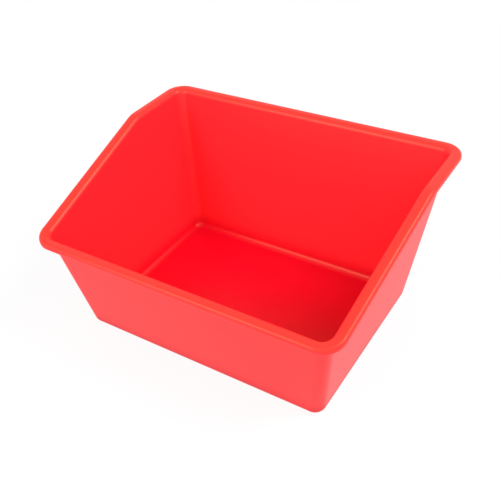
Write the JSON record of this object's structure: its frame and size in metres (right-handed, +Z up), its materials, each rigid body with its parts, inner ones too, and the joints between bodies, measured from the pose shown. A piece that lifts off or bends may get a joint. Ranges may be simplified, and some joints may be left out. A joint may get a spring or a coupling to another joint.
{
  "type": "open storage tub",
  "caption": "Open moulded storage tub with a flat base, flaring walls, a low front, a high back, side rims that slope between them, and a rolled lip all round.",
  "frame": {"origin": "centre of the overall box's footprint, on the surface the tub stands on", "axes": "+Z up, +X along the width, the low front faces -Y and the high back faces +Y"},
  "size_m": [0.329, 0.249, 0.16],
  "materials": {
    "tub_plastic": "satin moulded red plastic"
  },
  "bodies": {
    "root": {"tub": "tub_plastic"}
  },
  "joints": []
}
